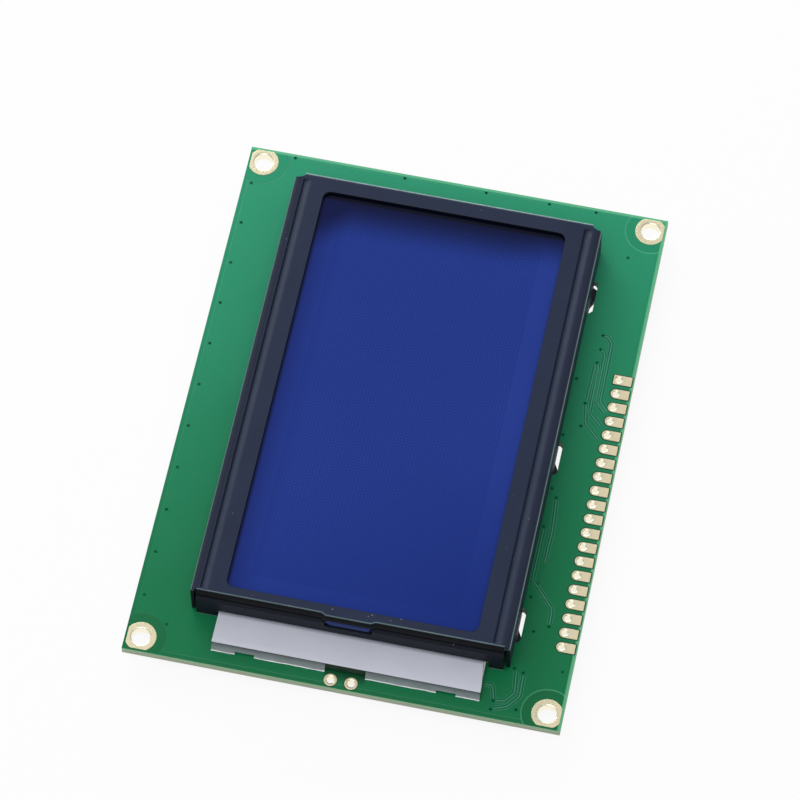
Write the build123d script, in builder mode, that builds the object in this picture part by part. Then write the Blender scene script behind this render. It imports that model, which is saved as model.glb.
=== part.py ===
from build123d import *
import os
from math import radians, tan

# Graphic LCD module on its circuit board, sizes in millimetres.
# X runs along the board towards the lamp end, Y across it towards the row of pads,
# Z up out of the display. The origin lies under the middle of the board, level with
# the tips of the bezel's tabs, which carry the module when it stands on a table.

# Circuit board
board_length = 93.0
board_width = 70.0
board_thickness = 1.6
land_thickness = 0.07
plating = 0.1
land_margin = 0.35
drill_sides = 12

# Corner holes
mount_inset = 2.5
mount_hole = 3.0
mount_land = 5.0

# Row of solder pads, number 1 first
pin_count = 20
pin_pitch = 2.54
first_pin_x = -15.9
pin_row_inset = 2.5
pin_hole = 1.0
pin_land_width = 1.66

# Pads for the backlight
lamp_pad_pitch = 3.3
lamp_pad_inset = 1.3
lamp_pad_y = -0.13
lamp_pad_hole = 1.2
lamp_pad_land = 2.1

# Bezel, folded and pressed from one sheet, with its ends set back from those of the board
sheet = 0.5
bezel_setback_far = 6.35
bezel_setback_near = 8.35
bezel_width = 51.0
bezel_height = 7.0
bezel_y = -0.25
bend_radius = 0.7
corner_relief_x = 0.7
corner_relief_y = 0.85
window_rim_x_far = 3.35
window_rim_x_near = 2.35
window_rim_y_far = 5.27
window_rim_y_pads = 5.53
window_radius = 1.4

# The band pressed into both short walls at the height of the glass
press_depth = 0.4
press_lean = 0.2
press_foot = 5.3
press_step = 0.3
port_width = 7.1
port_slant = 0.8
port_y = -0.44
port_slot_width = 7.7
port_slot_foot = 3.9
port_slot_height = 2.1
port_slot_radius = 0.4

# The groove pressed along each long side
groove_end_far = 2.0
groove_end_near = 1.5
groove_floor = 0.9
groove_depth = 0.4
groove_draft = 32.0
groove_setback = 2.15

# Tabs and their slots in the board
tab_pitch = 30.0
tab_width = 5.2
tab_reach = 2.0
tab_twist = 30.0
slot_length = 6.0
slot_width = 1.5
slot_outboard = 0.72
slot_corner = 0.45

# Display cell
glass_thickness = 1.1
cell_gap = 0.1
gasket_width = 1.2
gasket_inset = 0.8
polarizer_thickness = 0.25
glass_end_clearance = 0.15
glass_side_clearance = 0.25
contact_ledge = 2.7
polarizer_inset = 0.7
plug_width = 6.8
plug_depth = 0.6
plug_height = 1.9
plug_bevel = 0.25

# Rubber contact strips
strip_setback = 4.15
strip_width = 1.8

# Backlight
diffuser_thickness = 0.25
reflector_thickness = 0.3
frame_wall = 1.4
frame_clearance = 0.3
guide_clearance = 0.2
lamp_end_reach = 5.3
lamp_end_setback = 4.05
lamp_end_y = 0.27
lamp_end_clearance = 0.35
lamp_board_thickness = 0.4
shelf_height = 1.7
tongue_reach = 0.7
tongue_setback = 2.45
lamp_count = 6
lamp_row_setback = 0.6
lamp_size = (1.0, 2.8, 1.1)
lamp_gap = 0.1
pocket_clearance = 0.2

# Silver film over the lamp end
film = 0.15
film_wall_gap = 0.2
film_overlap = 1.0
flap_run = 0.4
foot_lip = 0.4
outer_foot_width = 3.8
foot_notch = 3.1
notch_top = 0.8
centre_gap = 6.5

# Parts on the back. Two bevels round each resin drop off, each given as its reach inwards and down
drop_radius = 7.0
drop_height = 1.4
drop_sides = 24
drop_bevels = [(1.2, 1.0), (2.4, 0.7)]
drop_places = [(-25.0, 1.0), (1.0, 1.0), (27.0, 1.0)]
chip_size = (4.9, 3.9, 1.4)
chip_standoff = 0.1
chip_chamfer = 0.3
chip_place = (-24.0, -16.0)
lead_count = 4
lead_pitch = 1.27
lead_width = 0.4
lead_thickness = 0.2
lead_foot = 0.6
lead_reach = 1.05
resistor_size = (2.0, 1.25, 0.5)
capacitor_size = (2.0, 1.25, 0.8)
tantalum_size = (3.2, 1.6, 1.6)
terminal_length = 0.4
terminal_wrap = 0.05

# Places of the small parts, which all lie across the board
bias_resistor_count = 5
bias_resistor_pitch = 3.4
bias_resistor_start = (-10.0, 18.0)
bus_resistor_places = [(12.0, -17.0), (15.4, -17.0)]
lamp_resistor_gap = 4.6
capacitor_places = [(-16.0, -13.5), (-16.0, -18.5), (-12.6, -16.0), (14.5, 18.0), (-38.0, 12.0)]
tantalum_places = [(-31.5, -16.0), (-6.0, -16.0)]

# How near an edge must lie to a level to be picked there
pick = 0.01

# Levels, all measured up from the tips of the tabs
board_back = tab_reach
board_top = board_back + board_thickness
bezel_top = board_top + bezel_height
front_glass_top = bezel_top - sheet - groove_depth
front_glass_back = front_glass_top - glass_thickness
rear_glass_top = front_glass_back - cell_gap
rear_glass_back = rear_glass_top - glass_thickness
rear_polarizer_back = rear_glass_back - polarizer_thickness
diffuser_back = rear_polarizer_back - diffuser_thickness
guide_back = board_top + reflector_thickness
shelf_top = board_top + shelf_height

# Lines that several pieces share
wall_x_near = board_length / 2 - bezel_setback_near
wall_x_far = bezel_setback_far - board_length / 2
bezel_length = wall_x_near - wall_x_far
bezel_x = (wall_x_near + wall_x_far) / 2
wall_y_pads = bezel_y + bezel_width / 2
wall_y_far = bezel_y - bezel_width / 2
groove_offset = bezel_width / 2 - groove_setback
press_inside = sheet + press_depth + press_lean
glass_length = bezel_length - 2 * (press_inside + glass_end_clearance)
front_glass_width = bezel_width - 2 * (sheet + glass_side_clearance)
rear_glass_width = front_glass_width - 2 * contact_ledge
glass_x_near = bezel_x + glass_length / 2
frame_x_near = wall_x_near - sheet - frame_clearance
frame_x_far = wall_x_far + press_inside + frame_clearance
guide_x_near = frame_x_near - frame_wall
guide_x_far = frame_x_far + frame_wall
guide_width = rear_glass_width - 2 * frame_wall
lamp_end_width = bezel_width - 2 * lamp_end_setback
tongue_width = lamp_end_width - 2 * tongue_setback
lamp_x = wall_x_near + tongue_reach + lamp_gap
shelf_x_near = wall_x_near + lamp_end_reach - film
tab_places = [-tab_pitch, 0.0, tab_pitch]


def slab(x_low, x_high, y_middle, width, z_low, z_high):
    """A flat rectangular piece between two X lines and two levels."""
    with BuildPart() as piece:
        with BuildSketch(Plane.XY.offset(z_low)):
            with Locations(((x_low + x_high) / 2, y_middle)):
                Rectangle(x_high - x_low, width)
        extrude(amount=z_high - z_low)
    return piece.part


def save(part, name):
    os.makedirs("parts", exist_ok=True)
    part.label = name
    export_step(part, f"parts/{name}.step")


# Places of the holes in the board
mount_places = GridLocations(board_length - 2 * mount_inset, board_width - 2 * mount_inset, 2, 2).locations
pin_y = board_width / 2 - pin_row_inset
pin_places = [Location((first_pin_x + pin_pitch * i, pin_y)) for i in range(pin_count)]
lamp_pad_x = board_length / 2 - lamp_pad_inset
lamp_pad_places = [Location((lamp_pad_x, lamp_pad_y + side * lamp_pad_pitch / 2)) for side in (-1, 1)]

# The slots stand further out than the walls, so the floor shows beside each tab
slot_shift = slot_outboard - slot_width / 2
slot_places = [Location((x, wall_y_pads + slot_shift)) for x in tab_places]
slot_places += [Location((x, wall_y_far - slot_shift)) for x in tab_places]

# Board
with BuildPart() as pcb:
    with BuildSketch(Plane.XY.offset(board_back)):
        Rectangle(board_length, board_width)
        with Locations(mount_places):
            Circle(mount_hole / 2 + plating, mode=Mode.SUBTRACT)
        with Locations(pin_places):
            RegularPolygon(pin_hole / 2 + plating, drill_sides, mode=Mode.SUBTRACT)
        with Locations(lamp_pad_places):
            RegularPolygon(lamp_pad_hole / 2 + plating, drill_sides, mode=Mode.SUBTRACT)
    extrude(amount=board_thickness)
    with BuildSketch(Plane.XY.offset(board_back)) as slots:
        with Locations(slot_places):
            Rectangle(slot_length, slot_width)
        chamfer(slots.vertices(), slot_corner)
    extrude(amount=board_thickness, mode=Mode.SUBTRACT)
save(pcb.part, "pcb")

# Plated rings: a land on the front and a barrel through the board, cut flat beside the edges
with BuildPart() as mounting_rings:
    with BuildSketch(Plane.XY.offset(board_top)):
        with Locations(mount_places):
            Circle(mount_land / 2)
        Rectangle(board_length - 2 * land_margin, board_width - 2 * land_margin, mode=Mode.INTERSECT)
    extrude(amount=land_thickness)
    with BuildSketch(Plane.XY.offset(board_back)):
        with Locations(mount_places):
            Circle(mount_hole / 2 + plating)
    extrude(amount=board_thickness)
    with BuildSketch(Plane.XY.offset(board_back)):
        with Locations(mount_places):
            Circle(mount_hole / 2)
    extrude(amount=board_thickness + land_thickness, mode=Mode.SUBTRACT)
save(mounting_rings.part, "mounting_rings")

# Solder pads of the row: number 1 has square corners, the others a round inner end
pin_land_length = pin_row_inset - land_margin
with BuildPart() as header_pads:
    with BuildSketch(Plane.XY.offset(board_top)):
        with Locations(pin_places):
            Rectangle(pin_land_width, pin_land_length, align=(Align.CENTER, Align.MIN))
        with Locations(pin_places[1:]):
            Circle(pin_land_width / 2)
        with Locations(pin_places[0]):
            Rectangle(pin_land_width, pin_land_width / 2, align=(Align.CENTER, Align.MAX))
    extrude(amount=land_thickness)
    with BuildSketch(Plane.XY.offset(board_back)):
        with Locations(pin_places):
            RegularPolygon(pin_hole / 2 + plating, drill_sides)
    extrude(amount=board_thickness)
    with BuildSketch(Plane.XY.offset(board_back)):
        with Locations(pin_places):
            RegularPolygon(pin_hole / 2, drill_sides)
    extrude(amount=board_thickness + land_thickness, mode=Mode.SUBTRACT)
save(header_pads.part, "header_pads")

# Round pads of the backlight
with BuildPart() as backlight_pads:
    with BuildSketch(Plane.XY.offset(board_top)):
        with Locations(lamp_pad_places):
            Circle(lamp_pad_land / 2)
    extrude(amount=land_thickness)
    with BuildSketch(Plane.XY.offset(board_back)):
        with Locations(lamp_pad_places):
            RegularPolygon(lamp_pad_hole / 2 + plating, drill_sides)
    extrude(amount=board_thickness)
    with BuildSketch(Plane.XY.offset(board_back)):
        with Locations(lamp_pad_places):
            RegularPolygon(lamp_pad_hole / 2, drill_sides)
    extrude(amount=board_thickness + land_thickness, mode=Mode.SUBTRACT)
save(backlight_pads.part, "backlight_pads")


def press_outlines(face_x, side):
    """Plan outlines of the metal pressed in at one short end. The near end keeps the port's stretch."""
    beyond = face_x + side * sheet
    back = face_x - side * press_depth
    reach = bezel_width / 2 + sheet
    if side < 0:
        return [[(beyond, -reach), (back, -reach), (back, reach), (beyond, reach)]]
    outlines = []
    for hand in (-1, 1):
        start = port_y + hand * port_width / 2
        slope = port_y + hand * (port_width / 2 + port_slant)
        outlines.append(
            [(beyond, hand * reach), (back, hand * reach), (back, slope), (face_x, start), (beyond, start)]
        )
    return outlines


def press_stretches(side):
    """Where the pressed band runs along Y at one short end."""
    reach = bezel_width / 2 + sheet
    if side < 0:
        return [(-reach, reach)]
    slope = port_width / 2 + port_slant
    return [(-reach, port_y - slope), (port_y + slope, reach)]


def pan(inset):
    """The bezel's outside surface as a solid, or with the sheet as inset its inside."""
    foot = board_top + press_foot - inset
    top = bezel_top - inset
    wrap = inset * tan(radians(90 - groove_draft) / 2)
    with BuildPart() as form:
        with BuildSketch(Plane.XY.offset(board_top)):
            with Locations((bezel_x, bezel_y)):
                Rectangle(bezel_length - 2 * inset, bezel_width - 2 * inset)
        extrude(amount=bezel_height - inset)
        for side in (-1, 1):
            face_x = bezel_x + side * (bezel_length / 2 - inset)
            with BuildSketch(Plane.XY.offset(foot)):
                for points in press_outlines(face_x, side):
                    Polygon(*points, align=None)
            extrude(amount=bezel_height, mode=Mode.SUBTRACT)
            ledge = form.edges().filter_by(Axis.Y).filter_by_position(Axis.Z, foot - pick, foot + pick)
            chamfer(ledge.filter_by_position(Axis.X, face_x - pick, face_x + pick), press_step)
        fillet(form.faces().sort_by(Axis.Z)[-1].edges(), bend_radius - inset)
        # The pressed band leans in below the bend
        for side in (-1, 1):
            band_x = bezel_x + side * (bezel_length / 2 - inset - press_depth)
            for low, high in press_stretches(side):
                with BuildSketch(Plane.XZ.offset(-high)):
                    with BuildLine():
                        Polyline(
                            (band_x, bezel_top - bend_radius),
                            (band_x, foot),
                            (band_x - side * press_lean, foot),
                            close=True,
                        )
                    make_face()
                extrude(amount=high - low, mode=Mode.SUBTRACT)
        groove_far = wall_x_far + groove_end_far - wrap
        groove_near = wall_x_near - groove_end_near + wrap
        groove_x = (groove_far + groove_near) / 2
        with BuildSketch(Plane.XY.offset(top - groove_depth)):
            with Locations((groove_x, bezel_y - groove_offset), (groove_x, bezel_y + groove_offset)):
                Rectangle(groove_near - groove_far, groove_floor + 2 * wrap)
        extrude(amount=groove_depth, taper=-groove_draft, mode=Mode.SUBTRACT)
    return form.part


# Bezel
bezel_outside = pan(0.0)
bezel_inside = pan(sheet)
window_x_far = wall_x_far + window_rim_x_far
window_x_near = wall_x_near - window_rim_x_near
window_y_far = wall_y_far + window_rim_y_far
window_y_pads = wall_y_pads - window_rim_y_pads
with BuildPart() as bezel:
    add(bezel_outside)
    add(bezel_inside, mode=Mode.SUBTRACT)
    with BuildSketch(Plane.XY.offset(bezel_top)):
        with Locations(((window_x_far + window_x_near) / 2, (window_y_far + window_y_pads) / 2)):
            RectangleRounded(window_x_near - window_x_far, window_y_pads - window_y_far, window_radius)
    extrude(amount=-2 * sheet, mode=Mode.SUBTRACT)
    # Cut corners, so that the four walls fold apart from each other
    with BuildSketch(Plane.XY.offset(board_top)):
        with Locations((bezel_x, bezel_y)):
            with GridLocations(bezel_length, bezel_width, 2, 2):
                Rectangle(2 * corner_relief_x, 2 * corner_relief_y)
    extrude(amount=bezel_height, mode=Mode.SUBTRACT)
    # Slot that shows the plug of the filling port
    with BuildSketch(Plane.YZ.offset(wall_x_near - press_inside)):
        with Locations((port_y, board_top + port_slot_foot + port_slot_height / 2)):
            RectangleRounded(port_slot_width, port_slot_height, port_slot_radius)
    extrude(amount=press_inside, mode=Mode.SUBTRACT)
    # Opening of the near wall over the lamp end
    with BuildSketch(Plane.YZ.offset(wall_x_near - sheet)):
        with Locations((lamp_end_y, board_top)):
            Rectangle(
                lamp_end_width + 2 * lamp_end_clearance,
                shelf_height + film + lamp_end_clearance,
                align=(Align.CENTER, Align.MIN),
            )
    extrude(amount=sheet, mode=Mode.SUBTRACT)
    # Tabs: straight through the board, then turned behind it so that they grip
    for hand, face_y in ((1, wall_y_pads), (-1, wall_y_far)):
        middle = face_y - hand * sheet / 2
        with BuildSketch(Plane.XY.offset(board_back)):
            with Locations(*[(x, middle) for x in tab_places]):
                Rectangle(tab_width, sheet)
        extrude(amount=board_thickness)
        with BuildSketch(Plane.XY):
            for x in tab_places:
                turn = -tab_twist if x < 0 else tab_twist
                with Locations((x, middle)):
                    Rectangle(tab_width, sheet, rotation=hand * turn)
        extrude(amount=tab_reach)
save(bezel.part, "bezel")

# Display cell: two glasses, the gasket between them and a polarizer on each
glass_x_far = bezel_x - glass_length / 2
front_glass = slab(glass_x_far, glass_x_near, bezel_y, front_glass_width, front_glass_back, front_glass_top)
save(front_glass, "front_glass")
rear_glass = slab(glass_x_far, glass_x_near, bezel_y, rear_glass_width, rear_glass_back, rear_glass_top)
save(rear_glass, "rear_glass")
polarizer_width = rear_glass_width - 2 * polarizer_inset
polarizer_far = glass_x_far + polarizer_inset
polarizer_near = glass_x_near - polarizer_inset
front_polarizer = slab(
    polarizer_far,
    polarizer_near,
    bezel_y,
    polarizer_width,
    front_glass_top,
    front_glass_top + polarizer_thickness,
)
save(front_polarizer, "front_polarizer")
rear_polarizer = slab(
    polarizer_far, polarizer_near, bezel_y, polarizer_width, rear_polarizer_back, rear_glass_back
)
save(rear_polarizer, "rear_polarizer")

# Gasket: a closed frame of resin, with the filling port open towards the near end
with BuildPart() as cell_seal:
    with BuildSketch(Plane.XY.offset(rear_glass_top)):
        with Locations((bezel_x, bezel_y)):
            Rectangle(glass_length - 2 * gasket_inset, rear_glass_width - 2 * gasket_inset)
            Rectangle(
                glass_length - 2 * (gasket_inset + gasket_width),
                rear_glass_width - 2 * (gasket_inset + gasket_width),
                mode=Mode.SUBTRACT,
            )
        with Locations((glass_x_near - gasket_inset, port_y)):
            Rectangle(2 * gasket_width, plug_width / 2, mode=Mode.SUBTRACT)
    extrude(amount=cell_gap)
save(cell_seal.part, "cell_seal")

# Plug of hardened resin on the filling port
plug_middle = (front_glass_top + rear_glass_back) / 2
with BuildPart() as end_seal:
    with BuildSketch(Plane.YZ.offset(glass_x_near)):
        with Locations((port_y, plug_middle)):
            Rectangle(plug_width, plug_height)
    extrude(amount=plug_depth)
    chamfer(end_seal.faces().sort_by(Axis.X)[-1].edges(), plug_bevel)
save(end_seal.part, "end_seal")

# Contact strips, from the board up to the ledges of the front glass
for hand, name in ((1, "zebra_strip_pad_side"), (-1, "zebra_strip_far_side")):
    strip = slab(
        wall_x_far + strip_setback,
        wall_x_near - strip_setback,
        bezel_y + hand * groove_offset,
        strip_width,
        board_top,
        front_glass_back,
    )
    save(strip, name)

# Backlight: reflector and light guide, both with a tongue under the wall, and diffuser
tongue_tip = wall_x_near + tongue_reach
guide_x_start = guide_x_far + guide_clearance
guide_x_end = guide_x_near - guide_clearance
guide_breadth = guide_width - 2 * guide_clearance
with BuildPart() as reflector:
    with BuildSketch(Plane.XY.offset(board_top)):
        with Locations(((guide_x_start + guide_x_end) / 2, bezel_y)):
            Rectangle(guide_x_end - guide_x_start, guide_breadth)
        with Locations((guide_x_end, lamp_end_y)):
            Rectangle(tongue_tip - guide_x_end, tongue_width, align=(Align.MIN, Align.CENTER))
    extrude(amount=reflector_thickness)
save(reflector.part, "reflector")
with BuildPart() as light_guide:
    with BuildSketch(Plane.XY.offset(guide_back)):
        with Locations(((guide_x_start + guide_x_end) / 2, bezel_y)):
            Rectangle(guide_x_end - guide_x_start, guide_breadth)
    extrude(amount=diffuser_back - guide_back)
    with BuildSketch(Plane.XY.offset(guide_back)):
        with Locations((guide_x_end, lamp_end_y)):
            Rectangle(tongue_tip - guide_x_end, tongue_width, align=(Align.MIN, Align.CENTER))
    extrude(amount=shelf_top - guide_back)
save(light_guide.part, "light_guide")
diffuser = slab(guide_x_start, guide_x_end, bezel_y, guide_breadth, diffuser_back, rear_polarizer_back)
save(diffuser, "diffuser")

# White moulded frame: a rim round the light guide and a shelf with pockets for the lamps
lamp_depth, lamp_breadth, lamp_height = lamp_size
lamp_pitch = (tongue_width - 2 * lamp_row_setback - lamp_breadth) / (lamp_count - 1)
lamp_places = [lamp_end_y + lamp_pitch * (i - (lamp_count - 1) / 2) for i in range(lamp_count)]
shelf_width = lamp_end_width - 2 * guide_clearance
with BuildPart() as backlight_frame:
    with BuildSketch(Plane.XY.offset(board_top)):
        with Locations(((frame_x_far + frame_x_near) / 2, bezel_y)):
            Rectangle(frame_x_near - frame_x_far, rear_glass_width)
    extrude(amount=rear_polarizer_back - board_top)
    with BuildSketch(Plane.XY.offset(board_top + lamp_board_thickness)):
        with Locations(((guide_x_near + shelf_x_near) / 2, lamp_end_y)):
            Rectangle(shelf_x_near - guide_x_near, shelf_width)
    extrude(amount=shelf_height - lamp_board_thickness)
    # Room for the light guide and the diffuser
    with BuildSketch(Plane.XY.offset(board_top)):
        with Locations(((guide_x_far + guide_x_near) / 2, bezel_y)):
            Rectangle(guide_x_near - guide_x_far, guide_width)
    extrude(amount=rear_polarizer_back - board_top, mode=Mode.SUBTRACT)
    # Room for the tongue, out to the lamps
    with BuildSketch(Plane.XY.offset(board_top)):
        with Locations((guide_x_near, lamp_end_y)):
            Rectangle(
                lamp_x - guide_x_near,
                tongue_width + 2 * guide_clearance,
                align=(Align.MIN, Align.CENTER),
            )
    extrude(amount=shelf_height, mode=Mode.SUBTRACT)
    with BuildSketch(Plane.XY.offset(board_top)):
        with Locations(*[(lamp_x, y) for y in lamp_places]):
            Rectangle(
                lamp_depth + pocket_clearance,
                lamp_breadth + 2 * pocket_clearance,
                align=(Align.MIN, Align.CENTER),
            )
    extrude(amount=shelf_height, mode=Mode.SUBTRACT)
save(backlight_frame.part, "backlight_frame")

# Strip board of the lamps, under the shelf
lamp_board = slab(
    tongue_tip + lamp_gap,
    shelf_x_near,
    lamp_end_y,
    shelf_width,
    board_top,
    board_top + lamp_board_thickness,
)
save(lamp_board, "lamp_board")

# Lamps
with BuildPart() as lamps:
    with BuildSketch(Plane.XY.offset(board_top + lamp_board_thickness)):
        with Locations(*[(lamp_x, y) for y in lamp_places]):
            Rectangle(lamp_depth, lamp_breadth, align=(Align.MIN, Align.CENTER))
    extrude(amount=lamp_height)
save(lamps.part, "lamps")

# Silver film: flat over the lamp end and bent down at its edge, but for the middle stretch.
# A notch in each half leaves an outer foot and an inner flap, which reach the board
film_edge = shelf_x_near + film
film_start = wall_x_near + film_wall_gap
half_width = lamp_end_width / 2
notch_outer = half_width - outer_foot_width
notch_inner = notch_outer - foot_notch
with BuildPart() as backlight_film:
    with BuildSketch(Plane.XY.offset(shelf_top)):
        with Locations(((film_start + film_edge) / 2, lamp_end_y)):
            Rectangle(film_edge - film_start, lamp_end_width)
    extrude(amount=film)
    for hand in (-1, 1):
        with BuildSketch(Plane.XZ.offset(-lamp_end_y - hand * centre_gap / 2)):
            with BuildLine():
                Polyline(
                    (film_edge - film_overlap, shelf_top),
                    (shelf_x_near, shelf_top),
                    (shelf_x_near + flap_run, board_top),
                    (shelf_x_near + flap_run + foot_lip, board_top),
                )
                offset(amount=film, side=Side.LEFT, kind=Kind.INTERSECTION)
            make_face()
        extrude(amount=-hand * (half_width - centre_gap / 2))
    with BuildSketch(Plane.YZ.offset(shelf_x_near)):
        with Locations(*[(lamp_end_y + hand * (notch_outer + notch_inner) / 2, board_top) for hand in (-1, 1)]):
            Rectangle(foot_notch, notch_top, align=(Align.CENTER, Align.MIN))
    extrude(amount=flap_run + foot_lip + film, mode=Mode.SUBTRACT)
save(backlight_film.part, "backlight_film")


def resin_drop(x, y):
    """A drop of black resin on the back of the board, over a chip: a low rim and a domed top."""
    with BuildPart() as drop:
        with BuildSketch(Plane.XY.offset(board_back)):
            with Locations((x, y)):
                RegularPolygon(drop_radius, drop_sides)
        extrude(amount=-drop_height)
        for inwards, down in drop_bevels:
            crown = drop.faces().sort_by(Axis.Z)[0]
            chamfer(crown.edges(), length=inwards, length2=down, reference=crown)
    return drop.part


for (x, y), name in zip(drop_places, ("driver_resin_far", "controller_resin", "driver_resin_near")):
    save(resin_drop(x, y), name)

# Charge pump chip for the display's bias voltage, with its body clear of the board
chip_length, chip_width, chip_height = chip_size
chip_top = board_back - chip_standoff
chip_x, chip_y = chip_place
with BuildPart() as charge_pump_chip:
    with BuildSketch(Plane.XY.offset(chip_top - chip_height)):
        with Locations(chip_place):
            Rectangle(chip_length, chip_width)
    extrude(amount=chip_height)
    chamfer(charge_pump_chip.faces().sort_by(Axis.Z)[0].edges().filter_by(Axis.X), chip_chamfer)
save(charge_pump_chip.part, "charge_pump_chip")

# Its leads: out of the sides at half height, bent up to the board
lead_places = [chip_x + lead_pitch * (i - (lead_count - 1) / 2) for i in range(lead_count)]
lead_level = chip_top - chip_height / 2
lead_end = chip_width / 2 + lead_reach
lead_bend = lead_end - lead_foot
with BuildPart() as charge_pump_leads:
    for lead_x in lead_places:
        for hand in (-1, 1):
            with BuildSketch(Plane.YZ.offset(lead_x - lead_width / 2)):
                with BuildLine():
                    Polyline(
                        (chip_y + hand * chip_width / 2, lead_level),
                        (chip_y + hand * lead_bend, lead_level),
                        (chip_y + hand * lead_bend, board_back - lead_thickness),
                        (chip_y + hand * lead_end, board_back - lead_thickness),
                        (chip_y + hand * lead_end, board_back),
                        (chip_y + hand * (lead_bend - lead_thickness), board_back),
                        (chip_y + hand * (lead_bend - lead_thickness), lead_level + lead_thickness),
                        (chip_y + hand * chip_width / 2, lead_level + lead_thickness),
                        close=True,
                    )
                make_face()
            extrude(amount=lead_width)
save(charge_pump_leads.part, "charge_pump_leads")


def chip_parts(size, places):
    """Small two-ended parts on the back: a body between two slightly thicker terminals."""
    length, width, height = size
    with BuildPart() as group:
        with BuildSketch(Plane.XY.offset(board_back)):
            with Locations(*places):
                Rectangle(width - 2 * terminal_wrap, length)
        extrude(amount=-(height - terminal_wrap))
        with BuildSketch(Plane.XY.offset(board_back)):
            with Locations(*places):
                with GridLocations(1, length - terminal_length, 1, 2):
                    Rectangle(width, terminal_length)
        extrude(amount=-height)
    return group.part


bias_x, bias_y = bias_resistor_start
resistor_places = [(bias_x + bias_resistor_pitch * i, bias_y) for i in range(bias_resistor_count)]
resistor_places += bus_resistor_places + [(lamp_pad_x - lamp_resistor_gap, lamp_pad_y)]
save(chip_parts(resistor_size, resistor_places), "chip_resistors")
save(chip_parts(capacitor_size, capacitor_places), "chip_capacitors")
save(chip_parts(tantalum_size, tantalum_places), "tantalum_capacitors")
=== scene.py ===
"""Finish, light and camera for the graphic LCD module.

Lengths are millimetres in the module's own frame: X along the board towards the lamp end,
Y across it towards the row of solder pads, Z up out of the display. The mesh maker turns
them into metres. The near end is the lamp end, and the far end lies across from it.
"""

import bmesh
import bpy
import numpy as np
from mathutils import Matrix, Vector


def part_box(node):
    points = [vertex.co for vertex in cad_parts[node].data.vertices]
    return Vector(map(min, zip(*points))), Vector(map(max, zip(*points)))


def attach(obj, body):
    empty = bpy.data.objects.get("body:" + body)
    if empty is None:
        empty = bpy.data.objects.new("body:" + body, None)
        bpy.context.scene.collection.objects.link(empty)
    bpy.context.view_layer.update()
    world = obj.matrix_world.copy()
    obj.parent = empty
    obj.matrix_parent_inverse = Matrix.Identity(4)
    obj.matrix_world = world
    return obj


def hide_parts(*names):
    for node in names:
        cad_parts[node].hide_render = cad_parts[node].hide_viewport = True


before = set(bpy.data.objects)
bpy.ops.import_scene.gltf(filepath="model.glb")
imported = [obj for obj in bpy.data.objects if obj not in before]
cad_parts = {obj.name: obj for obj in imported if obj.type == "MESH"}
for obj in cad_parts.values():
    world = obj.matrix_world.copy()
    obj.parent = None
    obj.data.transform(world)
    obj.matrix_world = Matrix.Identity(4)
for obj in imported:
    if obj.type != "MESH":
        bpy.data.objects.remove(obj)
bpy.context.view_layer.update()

MM = 0.001
both = np.array([-1, 1])  # both sides of a middle


# Places, read from the frame


def box_mm(node):
    """Lowest and highest corner of a CAD node, in millimetres."""
    low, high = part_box(node)
    return np.array(low) / MM, np.array(high) / MM


board_low, board_high = box_mm("pcb")
bezel_low, bezel_high = box_mm("bezel")
pads_low, pads_high = box_mm("header_pads")
film_low, film_high = box_mm("backlight_film")
plug_low, plug_high = box_mm("end_seal")
board_top, board_back = board_high[2], board_low[2]
lamp_middle = (film_low[1] + film_high[1]) / 2

hole_inset = 2.5
corner_holes = [(sx * (board_high[0] - hole_inset), sy * (board_high[1] - hole_inset))
                for sx in (-1, 1) for sy in (-1, 1)]
pad_count, pad_pitch, pad_width = 20, 2.54, 1.66
pad_x = pads_low[0] + pad_width / 2 + pad_pitch * np.arange(pad_count)
pad_y = board_high[1] - hole_inset
lamp_pads = [(45.2, -1.78), (45.2, 1.52)]
film_gap_half = 3.25  # half of the film's middle stretch, which is open below the shelf
drop_x = {"driver_resin_far": -25.0, "controller_resin": 1.0, "driver_resin_near": 27.0}
drop_y, drop_radius = 1.0, 7.0


# Meshes from numpy


usual_crease = 38.0  # degrees
merge_within = 0.0005  # millimetres


def placed(name, data):
    """A new object in the scene."""
    made = bpy.data.objects.new(name, data)
    bpy.context.scene.collection.objects.link(made)
    return made


def piece(name, points, faces, finish, slot, stands_for=(), crease=usual_crease, closed=True, **values):
    """One piece from points in millimetres. Each further value is an attribute of its points.

    Doubled points are merged, a closed form has its faces turned outwards, and edges sharper
    than the crease angle stay sharp under smooth shading."""
    mesh = bpy.data.meshes.new(name)
    metres = (np.reshape(points, (-1, 3)) * MM).tolist()
    mesh.from_pydata(metres, [], [list(map(int, face)) for face in faces])
    for key, value in values.items():
        held = mesh.attributes.new(key, "FLOAT", "POINT")
        held.data.foreach_set("value", np.ravel(value).astype(np.float32))
    work = bmesh.new()
    work.from_mesh(mesh)
    bmesh.ops.remove_doubles(work, verts=work.verts, dist=merge_within * MM)
    if closed:
        bmesh.ops.recalc_face_normals(work, faces=work.faces)
    work.to_mesh(mesh)
    work.free()
    soften(mesh, crease)
    mesh.materials.append(finish)
    made = placed(name, mesh)
    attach(made, "root")
    if stands_for:
        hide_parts(*stands_for)
    return made


def soften(mesh, crease):
    """Smooth shading, with every edge sharper than the crease angle left sharp."""
    mesh.polygons.foreach_set("use_smooth", np.ones(len(mesh.polygons), bool))
    mesh.set_sharp_from_angle(angle=np.radians(crease))


def thicken(made, thickness, crease=usual_crease):
    """Gives an open sheet its thickness behind its faces, and keeps the result as the mesh."""
    wall = made.modifiers.new("wall", "SOLIDIFY")
    wall.thickness = thickness * MM
    wall.offset = -1.0
    wall.use_even_offset = True
    solid = bpy.data.meshes.new_from_object(made.evaluated_get(bpy.context.evaluated_depsgraph_get()))
    solid.name = made.name
    made.modifiers.remove(wall)
    made.data = solid
    soften(solid, crease)


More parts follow.
